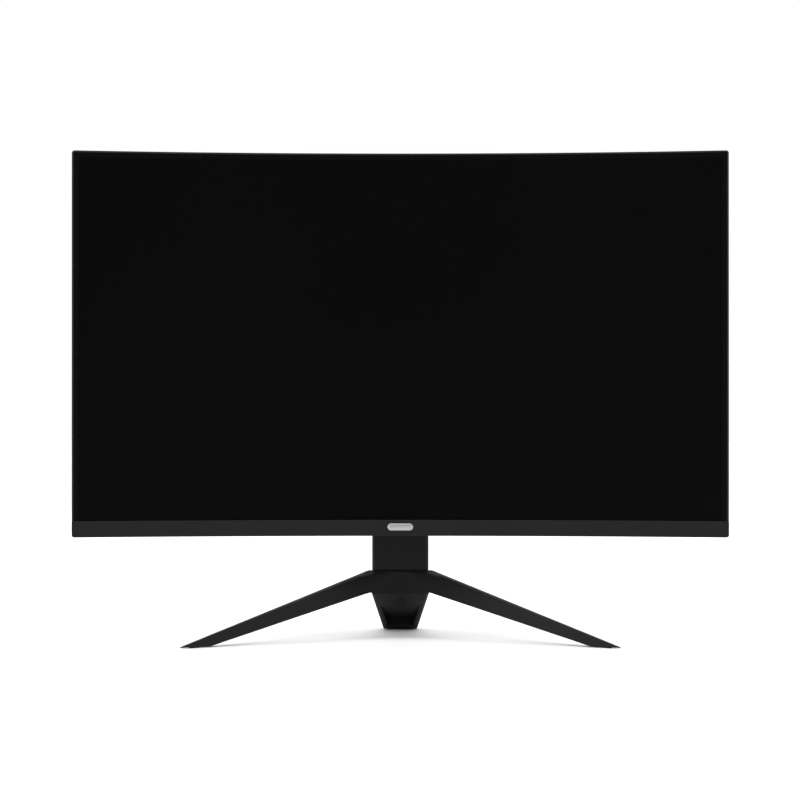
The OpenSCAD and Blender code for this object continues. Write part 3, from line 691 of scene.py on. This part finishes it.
def make_sockets():
    """Tongues inside the two kinds of video socket, with a row of contacts on both of their faces."""
    contacts = 10
    half_thick, contact_t, contact_half = 0.6 * MM, 0.12 * MM, 0.22 * MM
    flange_out, flange_half, flange_l = 1.1 * MM, 2.4 * MM, 2.2 * MM
    for node, count, tongue_w in (("hdmi_ports", 2, 11.6 * MM), ("displayport", 1, 13.2 * MM)):
        low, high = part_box(node)
        width = high.x - low.x - (count - 1) * SOCKET_PITCH
        y = (low.y + high.y) / 2
        top = high.z - 1.02 * MM
        root = top - flange_l
        half = tongue_w / 2
        pitch = tongue_w / (contacts + 0.5)
        tongue = bmesh.new()
        strips = bmesh.new()
        for i in range(count):
            x = low.x + width / 2 + i * SOCKET_PITCH
            add_box(tongue, (x - half, y - half_thick, low.z + 1.6 * MM),
                    (x + half, y + half_thick, top), 0.12 * MM)
            add_box(tongue, (x - half - flange_out, y - flange_half, root),
                    (x + half + flange_out, y + flange_half, top))
            for j in range(contacts):
                at = x + (j - (contacts - 1) / 2) * pitch
                for side in (-1, 1):
                    face, outer = y + side * half_thick, y + side * (half_thick + contact_t)
                    add_box(strips, (at - contact_half, min(face, outer), low.z + 2.4 * MM),
                            (at + contact_half, max(face, outer), root))
        new_piece(node + "_tongues", tongue, node, slot="socket_plastic")
        new_piece(node + "_contacts", strips, node, slot="washer_bronze")


def make_board_parts():
    """Chips and capacitors on the circuit boards, with small parts scattered between them."""
    chips = bmesh.new()
    legs = bmesh.new()
    cans = bmesh.new()
    draw = random.Random(7)

    def chip(x, z, w, h, y):
        """Package with a row of legs out of its upper and its lower side."""
        thick, pitch = 1.2 * MM, 0.9 * MM
        leg_half, leg_out, leg_thick = 0.18 * MM, 0.8 * MM, 0.35 * MM
        add_box(chips, (x - w / 2, y, z - h / 2), (x + w / 2, y + thick, z + h / 2), 0.15 * MM)
        for i in range(int(w / pitch) - 1):
            at = x - w / 2 + (i + 1) * pitch
            add_box(legs, (at - leg_half, y, z - h / 2 - leg_out),
                    (at + leg_half, y + leg_thick, z + h / 2 + leg_out))

    def can(x, z, radius, height, y):
        """Capacitor with a crimp near its foot."""
        shape = [(radius, 0), (radius, 0.8 * MM), (radius - 0.25 * MM, 1.2 * MM), (radius, 1.6 * MM)]
        part = turned(shape + rounded_rim(radius, height, 0.4 * MM), 28)
        merge(cans, part, aimed((x, y, z), (0, 1, 0)))

    # Places on the main board are mm from the origin
    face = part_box("main_board")[1].y
    for x, z, w, h in ((58, 206, 8, 8), (60, 224, 12, 6), (64, 240, 6, 6)):
        chip(x * MM, z * MM, w * MM, h * MM, face)
    for i in range(3):
        can((56 + 9 * i) * MM, 251 * MM, 3.1 * MM, 7 * MM, face)
    for i in range(26):
        x, z = draw.uniform(50, 72), draw.uniform(184, 246)
        add_box(chips, (x * MM, face, z * MM), ((x + 1.6) * MM, face + 0.6 * MM, (z + 0.8) * MM))

    # Places on the driver board are measured from its corners
    low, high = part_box("driver_board")
    face = high.y
    for i in range(5):
        can(low.x + (16 + 15 * i) * MM, high.z - 12 * MM, 4.4 * MM, 9.5 * MM, face)
    for i in range(4):
        chip(low.x + (18 + 18 * i) * MM, low.z + 24 * MM, 9 * MM, 6 * MM, face)
    for i in range(30):
        x, z = draw.uniform(8, 86), draw.uniform(10, 52)
        add_box(chips, (low.x + x * MM, face, low.z + z * MM),
                (low.x + (x + 1.8) * MM, face + 0.7 * MM, low.z + (z + 0.9) * MM))

    new_piece("board_chips", chips, "main_board", slot="socket_plastic")
    new_piece("board_legs", legs, "main_board", slot="socket_metal")
    new_piece("board_capacitors", cans, "main_board", slot="socket_metal")


# Nodes whose CAD shape is right and only lacks its rounded edges: width in mm and segments
ROUNDED = {
    "lcd_panel": (0.15, 1), "middle_frame": (0.35, 2), "chin_bezel": (0.45, 3), "rear_panel": (0.5, 2),
    "vesa_plate": (0.25, 2), "shield_can": (0.2, 2), "port_plate": (0.15, 1),
    "hdmi_ports": (0.12, 2), "displayport": (0.12, 2), "audio_jack": (0.2, 2), "dc_jack": (0.25, 2),
    "lock_insert": (0.3, 2), "joystick_housing": (0.3, 2), "joystick_cap": (0.35, 3),
    "head_bracket": (0.45, 2), "tilt_pin": (0.4, 2), "tilt_nut": (0.4, 2), "hinge_caps": (0.6, 3),
    "column_core": (0.4, 2), "column_front_cover": (0.35, 2), "column_rear_cover": (0.35, 2),
    "cable_grommet": (0.4, 3), "foot_pads": (0.4, 2), "screw_plug": (0.2, 1),
}


def vent_box():
    """Lowest and highest corner round the vent slots in the top of the rear housing."""
    low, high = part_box("rear_housing")
    half_w, depth, top_gap = 112 * MM, 42 * MM, 0.5 * MM
    return (-half_w, low.y - MM, high.z - depth), (half_w, high.y + MM, high.z - top_gap)


def scoop_box():
    """Lowest and highest corner round the scoop in the hub's underside."""
    half_w, front, back = 20.5 * MM, 36 * MM, 93.5 * MM
    bottom, top = 1.5 * MM, 38 * MM
    return (-half_w, front, bottom), (half_w, back, top)


# ------------------------------------------------------------------ build

make_camera()
LOOKS = make_looks()
make_studio()

for node, obj in NODES.items():
    obj.data.materials.clear()
    obj.data.materials.append(LOOKS[SLOT_OF[node]].material)

for node, (width, segments) in ROUNDED.items():
    refined(node, width, segments)
refined("rear_housing", 0.6, 3, keep=vent_box())
refined("base_casting", 0.8, 3, keep=scoop_box())
make_screws()
make_badge()
make_sockets()
make_board_parts()
